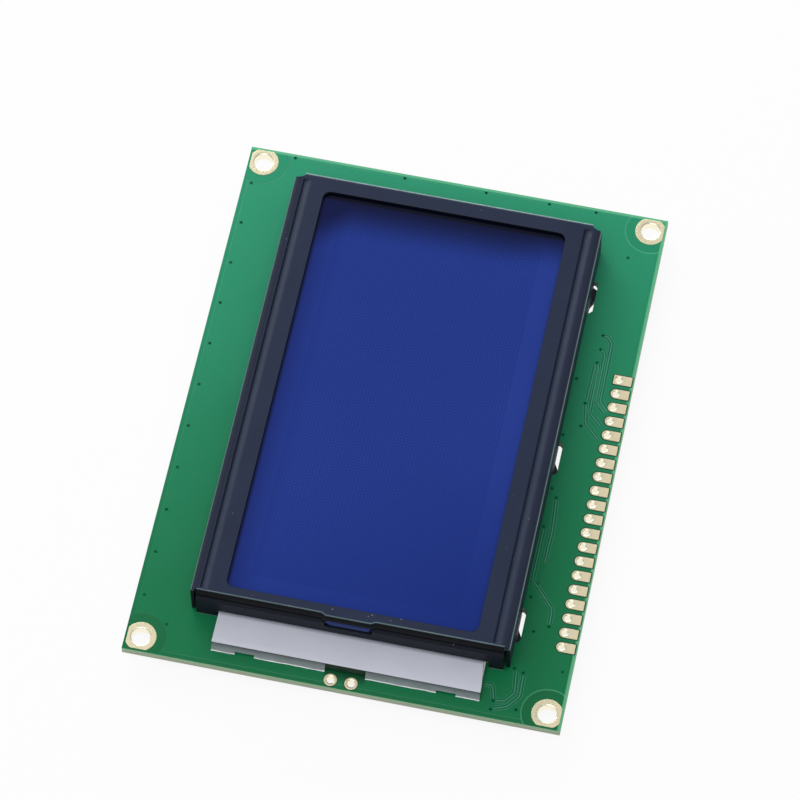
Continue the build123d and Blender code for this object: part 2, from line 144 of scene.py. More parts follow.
def cells(index):
    """The four corners of every cell of a grid of point numbers, in order round the cell."""
    return np.stack([index[:-1, :-1], index[1:, :-1], index[1:, 1:], index[:-1, 1:]], -1)


def quads(rows, columns, ring_rows=False, ring_columns=False):
    """Faces between neighbouring points of a grid. A ring direction joins its end to its start."""
    index = np.arange(rows * columns).reshape(rows, columns)
    if ring_rows:
        index = np.vstack([index, index[:1]])
    if ring_columns:
        index = np.hstack([index, index[:, :1]])
    return cells(index).reshape(-1, 4)


def joined(forms):
    """Several (points, faces) pairs as one."""
    starts = np.cumsum([0] + [len(points) for points, _ in forms[:-1]])
    points = np.concatenate([points for points, _ in forms])
    faces = [np.asarray(face) + start for (_, faces), start in zip(forms, starts) for face in faces]
    return points, faces


def moved(form, place):
    """A form set off by a place."""
    points, faces = form
    return points + np.asarray(place), faces


def outline(half_x, half_y, radii, inset=0.0, steps=6):
    """A rounded rectangle round the origin, drawn in by an inset.

    Each corner is a quarter circle about its own centre, and its radius shrinks with the inset
    until the corner is sharp. radii run counter-clockwise from the corner at +X +Y."""
    turn = np.linspace(0, np.pi / 2, steps + 1)
    corners = []
    for quarter, radius in enumerate(radii):
        angle = turn + quarter * np.pi / 2
        diagonal = (quarter + 0.5) * np.pi / 2
        side = np.sign([np.cos(diagonal), np.sin(diagonal)])
        left = max(radius - inset, 0.0)
        past = max(inset - radius, 0.0)
        centre = side * np.maximum(np.array([half_x, half_y]) - radius - past, 0.0)
        corners.append(centre + left * np.stack([np.cos(angle), np.sin(angle)], -1))
    return np.concatenate(corners)


def disc(radius, inset=0.0, steps=6):
    """A circle with as many points as the outlines that it is stacked with."""
    return outline(radius, radius, [radius] * 4, inset, steps)


def unit_ring(count):
    """Even points round a circle of radius 1."""
    turn = np.linspace(0, 2 * np.pi, count, endpoint=False)
    return np.stack([np.cos(turn), np.sin(turn)], -1)


def stack(rings, levels, closed=False):
    """Rings stacked at their levels, with faces between them. Closed joins the last to the first."""
    points = np.concatenate([np.column_stack([ring, np.full(len(ring), level)])
                             for ring, level in zip(rings, levels)])
    return points, quads(len(rings), len(rings[0]), ring_rows=closed, ring_columns=True)


def hanging_block(size, radius, edge):
    """A block that hangs below the origin, with upright edges of one radius.

    Outlines are stacked from the seat down, where a quarter circle draws them in to a flat face."""
    half_x, half_y, height = size[0] / 2, size[1] / 2, size[2]
    to_middle = min(half_x, half_y)
    turn = np.linspace(0, np.pi / 2, 5)
    insets = np.concatenate([[to_middle], [0.0], edge * (1 - np.cos(turn)), [to_middle]])
    levels = np.concatenate([[0.0], [0.0], height - edge + edge * np.sin(turn), [height]])
    return stack([outline(half_x, half_y, [radius] * 4, inset) for inset in insets], -levels)


def fold(along, half, radius):
    """A sheet bent down at both its edges: flat, then a quarter circle, then straight down.

    Takes the length along the sheet from its middle, and gives the place across and the drop."""
    past = np.abs(along) - (half - radius)
    turn = np.clip(past / radius, 0, np.pi / 2)
    out = np.minimum(np.abs(along), half - radius) + radius * np.sin(turn)
    drop = radius * (1 - np.cos(turn)) + np.maximum(past - radius * np.pi / 2, 0)
    return np.sign(along) * out, drop


def distance_inside(x, y, centre, half, radius):
    """How deep a point lies inside a rounded rectangle: below zero outside it."""
    across_x = np.abs(x - centre[0]) - (half[0] - radius)
    across_y = np.abs(y - centre[1]) - (half[1] - radius)
    outside = np.hypot(np.maximum(across_x, 0), np.maximum(across_y, 0))
    return radius - outside - np.minimum(np.maximum(across_x, across_y), 0)


def ease(t):
    """A soft step from 0 to 1."""
    t = np.clip(t, 0, 1)
    return t * t * (3 - 2 * t)


def peak(t, place, reach):
    """1 at a place, falling evenly to 0 at this reach on either side of it."""
    return np.clip(1 - np.abs(t - place) / reach, 0, 1)


def lines(*groups, widest=4.0):
    """Sorted grid lines from several groups, without near doubles and with wide stretches divided."""
    closest = 0.004
    places = np.sort(np.concatenate([np.ravel(group) for group in groups]))
    places = places[np.concatenate([[True], np.diff(places) > closest])]
    spread = [np.linspace(start, end, int(np.ceil((end - start) / widest)) + 1)[:-1]
              for start, end in zip(places, places[1:])]
    return np.concatenate(spread + [places[-1:]])


def hole_lines(hole, axis, steps):
    """Grid lines across a rounded hole along one axis: its edges, and the steps of its corner arcs.

    A hole is its middle, its half size and its corner radius."""
    centre, half, radius = hole
    arc = half[axis] - radius + radius * np.sin(np.linspace(0, np.pi / 2, steps + 1))
    return np.concatenate([centre[axis] - arc, centre[axis] + arc])


def cut_faces(in_hole, solid):
    """Faces of a sheet's grid, from the points that lie in a hole and the cells that are solid.

    A cell with one point in a round corner keeps the triangle of its other three."""
    corners = cells(np.arange(in_hole.size).reshape(in_hole.shape))
    lost = in_hole.ravel()[corners]
    count = lost.sum(-1)
    partly = solid & (count == 1)
    triangles = corners[partly][~lost[partly]].reshape(-1, 3)
    return corners[solid & (count == 0)].tolist() + triangles.tolist()


def ribbon(path, across, heights, level):
    """A profile carried along a path of straight runs on the board, with its bends rounded.

    Every bend becomes a short curve, and the profile stands square to the way the path goes."""
    bend_reach = 0.35
    path = np.asarray(path, float)
    points = [path[:1]]
    t = np.linspace(0, 1, 4)[:, None]
    for before, at, after in zip(path, path[1:], path[2:]):
        back, on = np.linalg.norm(at - before), np.linalg.norm(after - at)
        reach = min(bend_reach, back / 2, on / 2)
        enter = at + (before - at) / back * reach
        leave = at + (after - at) / on * reach
        points.append((1 - t) ** 2 * enter + 2 * t * (1 - t) * at + t ** 2 * leave)
    points = np.concatenate(points + [path[-1:]])
    way = np.gradient(points, axis=0)
    way /= np.linalg.norm(way, axis=1, keepdims=True)
    square = np.stack([-way[:, 1], way[:, 0]], -1)
    flat = points[:, None, :] + square[:, None, :] * across[None, :, None]
    high = np.broadcast_to(level + heights, flat.shape[:2])
    off = np.broadcast_to(across, flat.shape[:2]).ravel()
    return np.dstack([flat, high]).reshape(-1, 3), quads(len(points), len(across)), off


# Shader maths


class Value:
    """A number, colour or vector that varies over a surface. Arithmetic on it adds Math nodes."""

    def __init__(self, finish, socket):
        self.finish = finish
        self.socket = socket

    def math(self, operation, *others):
        """One Math node on this value and the others."""
        return self.finish.node("Math", dict(enumerate([self, *others])), operation=operation)

    def __add__(self, other):
        return self.math("ADD", other)

    def __sub__(self, other):
        return self.math("SUBTRACT", other)

    def __rsub__(self, other):
        return self.finish.node("Math", {0: other, 1: self}, operation="SUBTRACT")

    def __mul__(self, other):
        return self.math("MULTIPLY", other)

    def __abs__(self):
        return self.math("ABSOLUTE")

    __radd__ = __add__

    def above(self, other):
        """1 above a number and 0 below it."""
        return self.math("GREATER_THAN", other)

    def below(self, other):
        """1 below a number and 0 above it."""
        return self.math("LESS_THAN", other)

    def least(self, other):
        return self.math("MINIMUM", other)

    def most(self, other):
        return self.math("MAXIMUM", other)

    def phase(self, pitch):
        """Place within a repeat of this pitch, from -0.5 to 0.5."""
        return self.math("DIVIDE", pitch).math("FRACT") - 0.5

    def step(self, low, high):
        """A soft step from 0 at low to 1 at high."""
        return self.finish.node("MapRange", {0: self, 1: low, 2: high}, interpolation_type="SMOOTHSTEP")

    def fall(self, low, high):
        """A soft step from 1 at low to 0 at high."""
        return 1 - self.step(low, high)

    def band(self, start, full, waning, end):
        """A soft band: it rises from start to full, and falls from waning to end."""
        return self.step(start, full) * self.fall(waning, end)


class Nodes:
    """The nodes of a material or of the world."""

    def __init__(self, tree):
        self.tree = tree

    def node(self, kind, inputs=(), output=0, stops=(), **settings):
        """Adds a node of a kind with its settings, feeds its sockets and gives one of its outputs.

        stops are a ramp's places with their colours."""
        made = self.tree.nodes.new("ShaderNode" + kind)
        for key, value in settings.items():
            setattr(made, key, value)
        for order, (position, colour) in enumerate(stops):
            held = made.color_ramp.elements
            element = held[order] if order < len(held) else held.new(1.0)
            element.position, element.color = position, colour
        for key, value in dict(inputs).items():
            if isinstance(value, Value):
                self.tree.links.new(value.socket, made.inputs[key])
            else:
                made.inputs[key].default_value = value
        return Value(self, made.outputs[output])

    def mix(self, amount, first, second):
        """The first colour at 0 and the second at 1."""
        return self.node("Mix", {0: amount, 6: first, 7: second}, output=2, data_type="RGBA")

    def rays(self, *kinds):
        """1 for a ray of one of these kinds, and 0 for any other."""
        found = [self.node("LightPath", output="Is " + kind + " Ray") for kind in kinds]
        one_of = found[0]
        for other in found[1:]:
            one_of = one_of.most(other)
        return one_of


class Finish(Nodes):
    """A material in the making: its nodes, and the surface shader that they feed."""

    def __init__(self, name, **uniform):
        self.material = bpy.data.materials.new(name)
        self.material.use_nodes = True
        super().__init__(self.material.node_tree)
        self.surface = self.tree.nodes["Principled BSDF"]
        for socket, value in uniform.items():
            self.surface.inputs[socket.replace("_", " ")].default_value = value
        place = self.node("TexCoord", output="Object")
        self.place = self.node("VectorMath", {0: place, "Scale": 1 / MM}, operation="SCALE")
        self.x, self.y, self.z = (self.node("SeparateXYZ", {0: self.place}, output=axis) for axis in "XYZ")

    def mix(self, amount, first, second):
        """The first colour at 0 and the second at 1. A plain colour is three numbers up to 255."""
        return super().mix(amount, *[shade(*colour) if isinstance(colour, tuple) else colour
                                     for colour in (first, second)])

    def coats(self, colour, *coats):
        """A colour under several coats in turn, each of an amount and its own colour."""
        for amount, coat in coats:
            colour = self.mix(amount, colour, coat)
        return colour

    def noise(self, per_mm, detail=3.0, roughness=0.5, stretch=(1, 1, 1)):
        """Noise from 0 to 1, with this many blotches to a millimetre."""
        where = self.node("VectorMath", {0: self.place, 1: stretch}, operation="MULTIPLY")
        inputs = {"Vector": where, "Scale": per_mm, "Detail": detail, "Roughness": roughness}
        return self.node("TexNoise", inputs, output="Fac")

    def specks(self, per_mm, size):
        """Scattered small dots: 1 in a dot and 0 elsewhere."""
        inputs = {"Vector": self.place, "Scale": per_mm}
        from_dot = self.node("TexVoronoi", inputs, output="Distance", voronoi_dimensions="3D")
        return from_dot.below(size * per_mm)

    def attribute(self, name):
        """A value that the piece's points carry."""
        return self.node("Attribute", output="Fac", attribute_name=name)

    def set(self, **links):
        """Feeds the surface's sockets and gives the material."""
        for socket, value in links.items():
            self.tree.links.new(value.socket, self.surface.inputs[socket.replace("_", " ")])
        return self.material

    def relief(self, height, depth):
        """Bumps whose height of 1 stands this many millimetres proud. Gives the material."""
        inputs = {"Height": height, "Distance": depth * MM, "Strength": 1.0}
        return self.set(Normal=self.node("Bump", inputs, output="Normal"))


def shade(red, green, blue):
    """A screen colour from 0 to 255 as the shader's linear colour."""
    value = np.array([red, green, blue]) / 255
    linear = np.where(value <= 0.04045, value / 12.92, ((value + 0.055) / 1.055) ** 2.4)
    return (*linear.tolist(), 1.0)


# Finishes


def mask_green(finish):
    """The mask's green, and how far it lies over copper: 1 over it and 0 past its edges.

    The green is painted paler at the far edge and deeper towards the lamp end, as painted light
    falling from the far side. The copper under it stops short of the board's edges and leaves a
    round gap about each corner hole, with a thin line round its rim that is a painted highlight on
    the pads' side and painted shade on the other. A painted highlight runs along the far edge and
    the pads' edge, and painted shadow darkens the open stretch under the film."""
    copper_start, gap_end, rim_line = (0.66, 0.8), (4.04, 4.18), (3.98, 4.08, 4.14, 4.26)
    lit_width, film_shadow_reach, film_shadow_blur = (0.3, 0.62), (42.5, 43.0, 44.0, 45.4), 0.35
    to_edge = (board_high[0] - abs(finish.x)).least(board_high[1] - abs(finish.y))
    over_board = to_edge.step(*copper_start)
    hole_x, hole_y = corner_holes[-1]
    off_x, off_y = abs(finish.x) - hole_x, abs(finish.y) - hole_y
    from_hole = (off_x * off_x + off_y * off_y).math("SQRT")
    past_gap = from_hole.step(*gap_end)
    # Painted light: paler towards the far edge, where the light falls from
    run = (finish.x + finish.y * 0.3 + finish.noise(0.03) * 24.0).step(-44.0, 58.0)
    bare = ((1 - past_gap) * (0.25 + run * 0.35)).most((1 - over_board) * 0.3)
    # Painted highlight along the far edge and the pads' edge
    lit_edge = (board_high[1] - finish.y).least(finish.x - board_low[0]).fall(*lit_width)
    # Painted shadow over the open stretch of board under the film
    in_gap = abs(finish.y - lamp_middle).fall(film_gap_half - film_shadow_blur, film_gap_half + film_shadow_blur)
    film_shadow = in_gap * finish.x.band(*film_shadow_reach) * finish.z.above((board_top + board_back) / 2)
    # The line round each corner gap: painted highlight on the pads' side, painted shade on the other
    rim_green = finish.mix(finish.y.step(-8.0, 8.0), (8, 112, 74), (110, 200, 160))
    green = finish.coats(
        finish.mix(run, (41, 156, 117), (1, 119, 71)),
        (bare, finish.mix(run, (16, 144, 100), (5, 100, 54))),
        (from_hole.band(*rim_line) * 0.4, rim_green),
        (lit_edge * 0.55, (130, 220, 170)),
        (film_shadow * 0.75, (2, 52, 28)),
    )
    return green, over_board * past_gap


def board_mask():
    """Glossy green mask over copper on both faces, and bare layered laminate on every cut edge."""
    finish = Finish("board_mask", Specular_IOR_Level=0.4)
    layer = 0.2
    normal = finish.node("NewGeometry", output="Normal")
    face = abs(finish.node("SeparateXYZ", {0: normal}, output="Z")).above(0.5)
    weave = finish.noise(1.6, 2, 0.6)
    green, copper = mask_green(finish)
    green = finish.mix(weave * 0.2, green, (8, 112, 70))
    layers = abs(finish.z.phase(layer)).step(0.1, 0.35)
    laminate = finish.mix(finish.z.step(2.2, 3.5), (178, 176, 162), (158, 196, 158))
    edge = finish.mix(layers * 0.25 + finish.noise(2.0) * 0.3, laminate, (134, 160, 122))
    finish.set(Base_Color=finish.mix(face, edge, green),
               Roughness=0.62 - face * (0.36 - finish.noise(0.3) * 0.08))
    return finish.relief(copper * 1.5 + weave * 0.3 + finish.noise(0.25, 2), 0.012)


def trace_mask():
    """The same mask over a raised trace, by the attribute across, in millimetres from its middle.

    It is dark in the channels beside it, with a painted highlight on the crown and again on
    the channels' shoulders."""
    finish = Finish("trace_mask", Roughness=0.3)
    crown, channel, shoulder = (0.04, 0.09), (0.07, 0.11, 0.3, 0.38), (0.36, 0.4, 0.41, 0.45)
    across = abs(finish.attribute("across"))
    # Painted highlight on the crown and on the channels' shoulders
    light = across.fall(*crown) * 0.4 + across.band(*shoulder) * 0.35
    return finish.set(Base_Color=finish.coats(
        mask_green(finish)[0], (across.band(*channel) * 0.6, (2, 84, 70)), (light, (104, 198, 160)),
    ))


def via_mask():
    """A drilled via under the mask: a green collar round a well painted dark, as painted shade in
    the hole, by the attribute across.
    """
    finish = Finish("via_mask", Specular_IOR_Level=0.15)
    well_edge, collar_edge = (0.12, 0.18), (0.2, 0.36)
    across = finish.attribute("across")
    past_collar = across.step(*collar_edge)
    collar = finish.mix(past_collar, (8, 92, 62), mask_green(finish)[0])
    # Painted shade in the well, where the drilled hole is
    well = finish.mix(finish.noise(0.15).step(0.4, 0.6), (2, 28, 20), (10, 80, 56))
    return finish.set(Base_Color=finish.mix(across.step(*well_edge), well, collar),
                      Roughness=0.8 - past_collar * 0.5)


def clearance_mask():
    """The dark sunken line round a pad, where the mask dips to the bare laminate."""
    finish = Finish("clearance_mask", Roughness=0.7)
    return finish.set(Base_Color=finish.mix(finish.noise(3.0), (8, 62, 38), (16, 82, 50)))


def pad_gold():
    """Thin matt gold over a slightly grainy copper, warmer at the pads' outer ends.

    The attribute barrel turns it to bright bare metal in the holes."""
    finish = Finish("pad_gold")
    outer_ends = 33.0, 33.7
    grain = finish.noise(7.0, 4, 0.65)
    barrel = finish.attribute("barrel")
    colour = finish.coats(
        finish.mix(grain.step(0.3, 0.7), (221, 211, 170), (240, 234, 196)),
        (finish.y.step(*outer_ends) * 0.5, (246, 226, 188)),
        (finish.noise(1.2, 2) * 0.3, (230, 214, 164)),
        (barrel, (255, 247, 220)),
    )
    finish.set(Base_Color=colour, Metallic=0.25 + barrel * 0.75, Roughness=grain * 0.16 + 0.4 - barrel * 0.3)
    return finish.relief(grain, 0.012)


def bezel_paint():
    """Semi-gloss black paint with a blue cast: fine orange peel and a few specks of dust.

    Where the attribute rubbed rises it takes a pale, slightly metallic painted
    highlight, and where dull rises it takes painted shade and is matt. A little lint
    lies along the window's near edge."""
    finish = Finish("bezel_paint", Specular_IOR_Level=0.16)
    near_edge = 35.75, 35.95, 36.3, 36.9
    peel, cloud = finish.noise(5.0, 3, 0.55), finish.noise(0.12)
    # Painted highlight along the folds, the near wall's foot and the grooves
    rubbed = finish.attribute("rubbed") * (0.55 + finish.noise(0.5, 4) * 0.7)
    # Painted shade, with a matt finish as well
    dull = finish.attribute("dull")
    dust = finish.specks(0.5, 0.08) * finish.noise(0.2).above(0.54)
    lint = finish.specks(1.3, 0.09) * finish.x.band(*near_edge) * finish.noise(0.4).above(0.5)
    colour = finish.coats(
        finish.mix(cloud, (35, 43, 64), (42, 51, 74)),
        (dull * 0.95, (7, 7, 10)),
        (rubbed * 0.75, (178, 214, 214)),
        ((dust * 0.5).most(lint * 0.7), (168, 172, 182)),
    )
    finish.set(Base_Color=colour, Metallic=rubbed * 0.6,
               Roughness=0.38 + cloud * 0.06 + peel * 0.06 + dull * 0.2 - rubbed * 0.1)
    return finish.relief(peel, 0.004)


def display_film():
    """Deep blue unlit display: a faint grid of dots under a smooth film, painted shade round its edge.

    The blue deepens a little towards the lamp end and the pads. The bezel's shade is painted deep
    over the far end, a little less of it by the pads and more by the wall across from them, and
    lightly along that wall, with a thin painted dark rim at the window's far edge and along that wall."""
    finish = Finish("display_film", Roughness=0.16, Specular_IOR_Level=0.28, Coat_Weight=0.18,
                    Coat_Roughness=0.06)
    dot, off_middle, dots_half_x, dots_half_y = 0.52, 0.4, 33.3, 16.7
    wall_shadow, pad_side, end_shadow = (-20.2, -14.6), (10.0, 19.0), (28.6, 35.8)
    far_rim, side_rim = (-36.1, -35.6), (-20.25, -19.9)
    across = abs(finish.x.phase(dot)).most(abs(finish.y.phase(dot)))
    in_dots = abs(finish.x + off_middle).below(dots_half_x) * abs(finish.y + off_middle).below(dots_half_y)
    side_shade = finish.y.fall(*wall_shadow)
    end_shade = (side_shade * 3.2 - finish.x - finish.y.step(*pad_side)).step(*end_shadow)
    return finish.set(Base_Color=finish.coats(
        finish.mix(finish.noise(0.05), (29, 54, 138), (35, 60, 147)),
        (across.step(0.4, 0.48) * in_dots * 0.8, (12, 34, 110)),
        ((finish.x + finish.y * 0.6).step(5.0, 55.0) * 0.8, (12, 38, 116)),
        # Painted shade of the bezel over the far end and along the wall, and a painted dark rim
        (end_shade * 0.93, (5, 12, 50)),
        (side_shade * 0.4, (8, 18, 80)),
        (finish.x.fall(*far_rim).most(finish.y.fall(*side_rim) * 0.6), (3, 6, 28)),
    ))


def satin_film():
    """Pale cover film: satin, drawn one way, softly uneven from handling; painted shade by the wall."""
    finish = Finish("satin_film", Metallic=0.1)
    drawn, cloud = finish.noise(1.5, 4, 0.6, stretch=(6, 0.4, 6)), finish.noise(0.18)
    # Painted shade along the foot of the bezel's wall
    painted_wall_shade = (finish.x - bezel_high[0]).fall(0.0, 0.6)
    colour = finish.coats(
        finish.mix(cloud, (214, 218, 231), (228, 231, 242)),
        (painted_wall_shade * 0.6, (96, 106, 126)),
        (drawn * 0.3, (200, 205, 221)),
    )
    finish.set(Base_Color=colour, Roughness=0.29 + drawn * 0.12)
    return finish.relief(drawn * 0.4 + cloud * 2.0, 0.02)


def silver_foil():
    """Mirror-like folded foil, a little crumpled, with a painted highlight along its foot.

    It is painted pale low down and darker up its slope, as painted shade and reflection, dark just
    below the shelf as painted shade, and the shaded board's dark green in its open middle stretch
    as a painted reflection."""
    finish = Finish("silver_foil")
    shelf, gap_blur = film_high[2], 0.05
    drawn = finish.noise(1.0, 3, 0.5, stretch=(1, 0.3, 4))
    in_gap = abs(finish.y - lamp_middle).fall(film_gap_half - gap_blur, film_gap_half + gap_blur)
    # Painted highlight along the foot, where it lies flat on the board
    foot = finish.z.fall(board_top + 0.1, board_top + 0.2)
    colour = finish.coats(
        # Painted shade and reflection: dark up the slope, below the shelf and in the middle stretch
        finish.mix(finish.z.step(board_top + 0.1, shelf - 0.1), (178, 184, 190), (74, 84, 88)),
        (drawn * 0.3, (150, 160, 160)),
        (finish.z.step(shelf - 0.42, shelf - 0.26) * 0.8, (24, 28, 30)),
        (in_gap, (10, 44, 28)),
        (foot, (244, 246, 248)),
    )
    finish.set(Base_Color=colour, Metallic=0.5 - foot * 0.4, Roughness=0.3 + drawn * 0.16)
    return finish.relief(finish.noise(0.7), 0.08)


def plug_resin():
    """Hardened blue resin with a soft gloss, and a painted highlight along its crown."""
    finish = Finish("plug_resin", Roughness=0.35, Specular_IOR_Level=0.12)
    # Painted highlight along the bulge's crown
    crown = (finish.z - plug_low[2]).band(1.1, 1.5, 1.6, 1.85)
    blue = finish.mix(finish.noise(0.8), (6, 28, 92), (10, 40, 112))
    finish.set(Base_Color=finish.mix(crown * 0.4, blue, (46, 78, 158)))
    return finish.relief(finish.noise(1.2), 0.05)


def drop_resin():
    """Black potting resin: softly glossy, with low waves from where it flowed and set."""
    finish = Finish("drop_resin")
    finish.set(Base_Color=finish.mix(finish.noise(2.0, 4), (16, 16, 17), (28, 28, 30)),
               Roughness=0.3 + finish.noise(0.8) * 0.14)
    return finish.relief(finish.noise(0.35, 2) + finish.noise(4.0) * 0.05, 0.12)


def tinned():
    """Dull tinned metal with a fine grain."""
    finish = Finish("tinned", Metallic=1.0)
    grain = finish.noise(6.0)
    finish.set(Base_Color=finish.mix(grain, (176, 178, 182), (214, 215, 218)), Roughness=0.22 + grain * 0.2)
    return finish.relief(grain, 0.01)


def plain_mould(name, dark, light, roughness=0.45, per_mm=3.0, depth=0.006, **uniform):
    """A moulded or cut material: two close shades in a fine cloud, and a faint grain."""
    finish = Finish(name, Roughness=roughness, **uniform)
    cloud = finish.noise(per_mm, 4)
    finish.set(Base_Color=finish.mix(cloud, dark, light))
    return finish.relief(cloud, depth)


def white_print():
    """Matt white ink, a little uneven."""
    finish = Finish("white_print", Roughness=0.6)
    finish.set(Base_Color=finish.mix(finish.noise(2.0), (206, 210, 200), (228, 230, 222)))
    return finish.relief(finish.noise(6.0), 0.01)


def layered_rubber():
    """Contact rubber: dark and pale layers along the strip."""
    finish = Finish("layered_rubber", Roughness=0.7)
    layer = 0.18
    finish.set(Base_Color=finish.mix(abs(finish.x.phase(layer)).above(0.25), (60, 60, 62), (188, 186, 178)))
    return finish.relief(finish.noise(3.0), 0.01)


def dotted_film():
    """White reflector film with its fine grid of round printed dots."""
    finish = Finish("dotted_film", Roughness=0.3)
    pitch = 1.0
    off_x, off_y = finish.x.phase(pitch), finish.y.phase(pitch)
    dots = (off_x * off_x + off_y * off_y).below(0.05)
    return finish.set(Base_Color=finish.mix(dots, (232, 234, 236), (206, 210, 216)))


# Bezel: one blank, folded and pressed


def bezel():
    """The bezel from its flat blank.

    The blank is a grid of lengths u along and v across the sheet, both from its middle. Its middle
    stays flat and its four sides fold down through quarter circles. Displacements then press the
    bands into the short walls and the grooves into the top, and turn the tabs. The window, the
    plug's slot, the film's opening and the cut far corners are left out of the grid."""
    sheet, bend, mitre, snug = 0.5, 0.7, 0.9, 0.002
    height = bezel_high[2] - board_top
    half_x, half_y = (bezel_high[0] - bezel_low[0]) / 2, 25.5
    middle = np.array([(bezel_high[0] + bezel_low[0]) / 2, -0.25])
    flat_x, flat_y = half_x - bend, half_y - bend
    arc = bend * np.linspace(0, np.pi / 2, 8)
    wall_start = flat_x + arc[-1]
    wall_foot = wall_start + height - bend
    side_foot = flat_y + arc[-1] + height - bend
    relief_y = flat_y - mitre / 4

    window = np.array([0.5, -0.13]), np.array([36.3, 20.1]), 1.4
    window_rim = window[0] + np.outer(both, window[1] + 0.04)
    port_y, port_half, port_slant = -0.44 - middle[1], 3.55, 0.8
    slot = np.array([wall_foot - 4.95, port_y]), np.array([1.05, 3.85]), 0.4
    window_steps, slot_steps = 6, 3
    opening_y, opening_half, opening_height = 0.27 - middle[1], 21.8, 2.2
    groove_x, groove_y, groove_half = 0.25, 23.35, np.array([37.65, 0.7])
    groove_edge = np.array([-0.1, 0.0, 0.08, 0.16, 0.24, 0.32])
    groove_depth, steep_run, long_run = 0.34, 0.28, 1.0
    tabs, tab_half = np.array([-30.0, 0.0, 30.0]) - middle[0], 2.6
    tab_twist, twist_run = np.radians(30), 0.7
    wall_heights = np.array([6.0, 5.66, 5.6, 5.33, 5.27, 5.0, 4.4, 4.24, 4.3, 3.94, 3.9,
                             3.2, 2.2, 1.0, 0.3, 0.16, 0.0])
    side_heights, quarters = np.array([6.0, 4.0, 2.0, 0.0]), np.array([0.25, 0.5, 0.75, 1.0])
    below_board_side = np.array([0.8, 1.6, 1.8, 2.05, 2.3, 2.6, 3.0, 3.6])

    end_wall = lines(flat_x + arc, wall_foot - wall_heights, hole_lines(slot, 0, slot_steps))
    along = lines(
        end_wall, -end_wall, hole_lines(window, 0, window_steps), window_rim[:, 0],
        groove_x + groove_half[0] - groove_edge, groove_x - groove_half[0] + groove_edge,
        np.add.outer(tabs, tab_half * both),
        -flat_x + mitre * quarters,
        widest=6.0,
    )
    side_wall = lines(flat_y + arc, side_foot - side_heights, side_foot + below_board_side)
    across = lines(
        side_wall, -side_wall, relief_y * both, np.outer(both, flat_y - mitre * quarters),
        hole_lines(window, 1, window_steps), window_rim[:, 1],
        np.add.outer(both * groove_y, np.linspace(-0.1, 0.8, 10)),
        np.add.outer(both * groove_y - groove_half[1], groove_edge),
        port_y + np.outer([port_half, port_half + port_slant], both), hole_lines(slot, 1, slot_steps),
        opening_y + opening_half * both,
        widest=6.0,
    )
    u, v = np.meshgrid(along, across, indexing="ij")
    x, fall_x = fold(u, half_x, bend)
    y, fall_y = fold(v, half_y, bend)
    level = height - fall_x - fall_y

    # Bands pressed into the short walls: how deep at each level, all round but for the port's stretch
    inward = np.interp(level, [0.0, 5.0, 5.27, 5.33, 6.3, 7.0], [0.0, 0.0, 0.3, 0.6, 0.4, 0.4])
    past_port = np.clip((np.abs(v - port_y) - port_half) / port_slant, 0, 1)
    pressed = np.clip((flat_y - np.abs(v)) / (flat_y - relief_y), 0, 1) * np.where(u > 0, past_port, 1.0)
    groove_end = groove_half[0] + 0.1 + np.sign(u) * groove_x
    to_fold = np.clip((np.abs(u) - groove_end) / (flat_x - groove_end), 0, 1)
    x = x - np.sign(u) * inward * pressed * to_fold

    # Grooves along the long sides, steep on one side and running out on the other
    off = v - np.sign(v) * groove_y
    steep_side = ease((off + groove_half[1] + 0.04) / steep_run)
    long_side = ease((groove_half[1] + 0.06 - off) / long_run)
    ends = ease((groove_half[0] + 0.04 - np.abs(u - groove_x)) / steep_run)
    level = level - groove_depth * steep_side * long_side * ends

    # Tabs, turned behind the board so that they grip
    reach = np.maximum(np.abs(v) - side_foot - (board_top - board_back), 0)
    for tab in tabs:
        on_tab = (np.abs(u - tab) < tab_half + 0.001) & (reach > 0)
        turn = np.where(tab + middle[0] < -1, -1, 1) * np.sign(v) * tab_twist * ease(reach / twist_run)
        off_x, off_y = u - tab, np.sign(v) * sheet / 2
        turned_x = tab + off_x * np.cos(turn) - off_y * np.sin(turn)
        turned_y = np.sign(v) * (half_y - sheet / 2) + off_x * np.sin(turn) + off_y * np.cos(turn)
        x, y = np.where(on_tab, turned_x, x), np.where(on_tab, turned_y, y)

    # What the blank lacks: past its edges, at the corners of the folds, and in its openings
    u_mid, v_mid = (u[1:, 1:] + u[:-1, :-1]) / 2, (v[1:, 1:] + v[:-1, :-1]) / 2
    on_tabs = (np.abs(u_mid[..., None] - tabs) < tab_half).any(-1)
    solid = (np.abs(u_mid) < wall_foot) & ((np.abs(v_mid) < side_foot) | on_tabs)
    solid &= ~((np.abs(u_mid) > flat_x) & (np.abs(v_mid) > relief_y))
    solid &= ~((u_mid > wall_foot - opening_height) & (np.abs(v_mid - opening_y) < opening_half))
    from_corner = np.maximum(flat_x + u, 0) + np.maximum(flat_y - np.abs(v), 0)
    in_hole = (from_corner < mitre - snug) & (u < 0)
    in_hole |= (distance_inside(u, v, *window) > snug) | (distance_inside(u, v, *slot) > snug)

    # Painted highlights: along the folds, at the near wall's foot, and in the grooves
    turned = np.clip(np.maximum(np.abs(u) - flat_x, np.abs(v) - flat_y) / bend, 0, 2)
    near, far, in_groove = u > flat_x, u < -flat_x, np.abs(u - groove_x) < groove_half[0]
    near_line, far_line, side_line = (0.22, 0.2), (0.67, 0.45), (1.1, 0.26)
    folds = np.where(far, peak(turned, *far_line), peak(turned, *side_line))
    folds = np.where(near, 0.5 * peak(turned, *near_line), folds)
    folds = folds * np.where(far, 1.0, np.where(v > 0, 0.85, 0.7))
    foot = 0.75 * ((level < 0.2) & near)
    groove_line = np.where(v < 0, 0.045, 0.02) * (in_groove & (off > -0.3) & (off < 0.45))
    rubbed = np.max([folds, foot, groove_line], axis=0)

